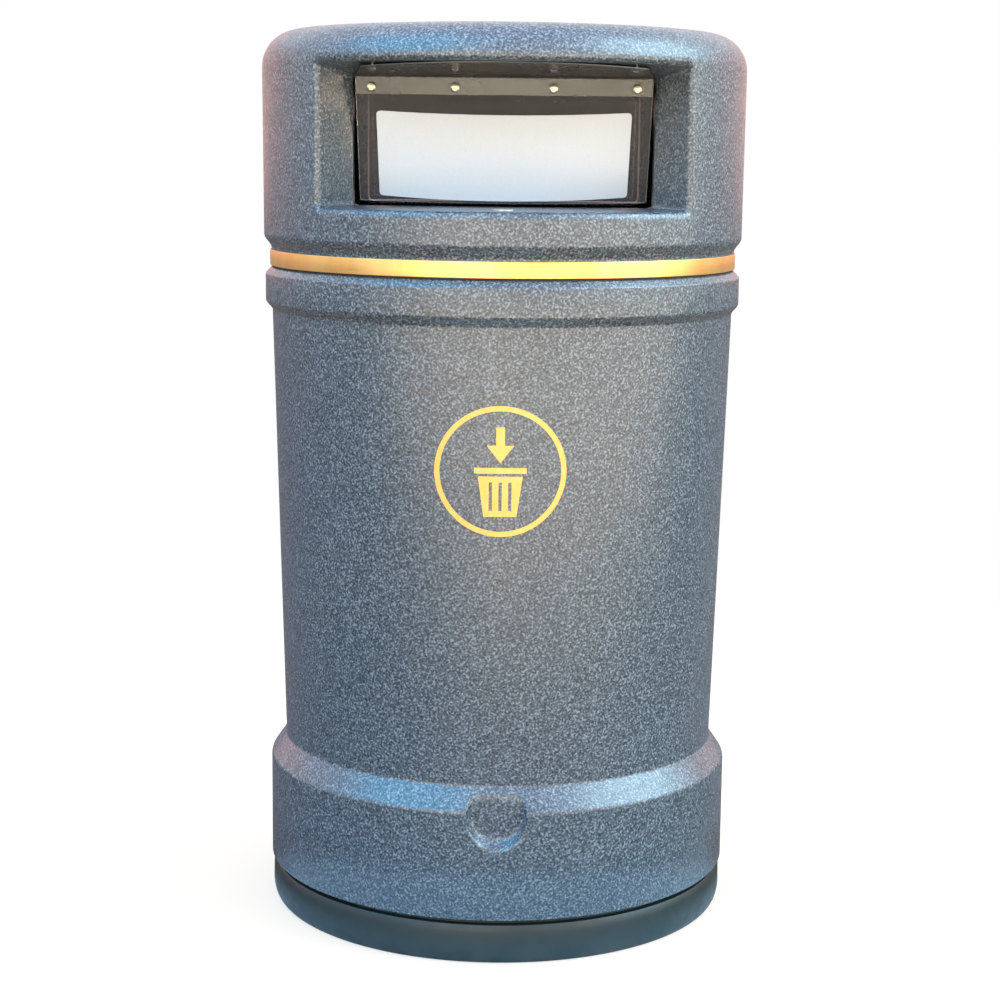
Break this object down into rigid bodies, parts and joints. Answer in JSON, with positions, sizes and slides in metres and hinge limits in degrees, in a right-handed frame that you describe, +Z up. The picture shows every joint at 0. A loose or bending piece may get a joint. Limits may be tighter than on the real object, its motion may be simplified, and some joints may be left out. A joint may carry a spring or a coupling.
{
  "type": "litter bin",
  "caption": "Round granite-effect litter bin with a weighted black base, hinged hood with flapped apertures, gold neck band and lift-out metal liner.",
  "frame": {"origin": "centre of the base's underside, on the ground and on the axis of the bin", "axes": "+Z up, -Y towards the front aperture with the lock, +X to the right seen from behind the front face, hinge at +Y"},
  "size_m": [0.5349, 0.5476, 0.988],
  "materials": {
    "granite_plastic": "speckled granite-effect moulded polyethylene, satin",
    "black_plastic": "black moulded plastic, low sheen",
    "concrete": "cast concrete, rough",
    "zinc_steel": "zinc plated",
    "stainless": "stainless, satin",
    "dark_steel": "smooth dark coating, semi-gloss",
    "seal_rubber": "black foam rubber",
    "gold_print": "gold print, satin",
    "gold_band": "gold anodised strip, satin",
    "clear_sheet": "clear flexible sheet, glossy",
    "label_white": "plain white label, satin",
    "rivet_metal": "plated pop rivets",
    "brass": "turned brass",
    "galvanised": "galvanised, spangled"
  },
  "bodies": {
    "root": {"base_moulding": "black_plastic", "ballast_slab": "concrete", "body_shell": "granite_plastic", "base_bolts": "zinc_steel", "base_washers": "zinc_steel", "base_nuts": "zinc_steel", "rim_seal": "seal_rubber", "front_symbol": "gold_print", "rear_symbol": "gold_print", "hinge_body_leaf": "stainless", "hinge_pin": "stainless", "hinge_body_rivets": "stainless", "lock_keeper": "zinc_steel", "keeper_screws": "stainless"},
    "hood": {"hood_shell": "granite_plastic", "neck_band": "gold_band", "band_rivets": "gold_band", "hinge_hood_leaf": "stainless", "hinge_hood_rivets": "stainless", "front_hanger": "dark_steel", "rear_hanger": "dark_steel", "front_hanger_screws": "stainless", "rear_hanger_screws": "stainless", "front_flap_strip": "clear_sheet", "rear_flap_strip": "clear_sheet", "front_flap_rivets": "rivet_metal", "rear_flap_rivets": "rivet_metal", "lock_barrel": "stainless", "lock_nut": "stainless"},
    "front_flap": {"front_flap": "clear_sheet", "front_label": "label_white"},
    "rear_flap": {"rear_flap": "clear_sheet", "rear_label": "label_white"},
    "lock": {"lock_plug": "brass", "lock_cam": "zinc_steel", "cam_screw": "stainless"},
    "liner": {"liner_shell": "galvanised", "liner_floor": "galvanised", "liner_rim": "galvanised", "handle_ears": "zinc_steel", "ear_rivets": "zinc_steel"},
    "left_handle": {"left_handle": "zinc_steel"},
    "right_handle": {"right_handle": "zinc_steel"}
  },
  "joints": [
    {"name": "hood_hinge", "type": "hinge", "parent": "root", "child": "hood", "pos_m": [0, 0.2745, 0.734], "axis": [-1, 0, 0], "range_deg": [0, 100]},
    {"name": "front_flap_swing", "type": "hinge", "parent": "hood", "child": "front_flap", "pos_m": [0, -0.14496, 0.90711], "axis": [1, 0, 0], "range_deg": [0, 60]},
    {"name": "rear_flap_swing", "type": "hinge", "parent": "hood", "child": "rear_flap", "pos_m": [0, 0.14496, 0.90711], "axis": [-1, 0, 0], "range_deg": [0, 60]},
    {"name": "lock_turn", "type": "hinge", "parent": "hood", "child": "lock", "pos_m": [0, -0.222, 0.724], "axis": [0, 0, -1], "range_deg": [0, 90]},
    {"name": "liner_lift", "type": "slide", "parent": "root", "child": "liner", "axis": [0, 0, 1], "range_m": [0, 0.06]},
    {"name": "left_handle_swing", "type": "hinge", "parent": "liner", "child": "left_handle", "pos_m": [-0.19, 0, 0.676], "axis": [0, -1, 0], "range_deg": [0, 170]},
    {"name": "right_handle_swing", "type": "hinge", "parent": "liner", "child": "right_handle", "pos_m": [0.19, 0, 0.676], "axis": [0, 1, 0], "range_deg": [0, 170]}
  ]
}
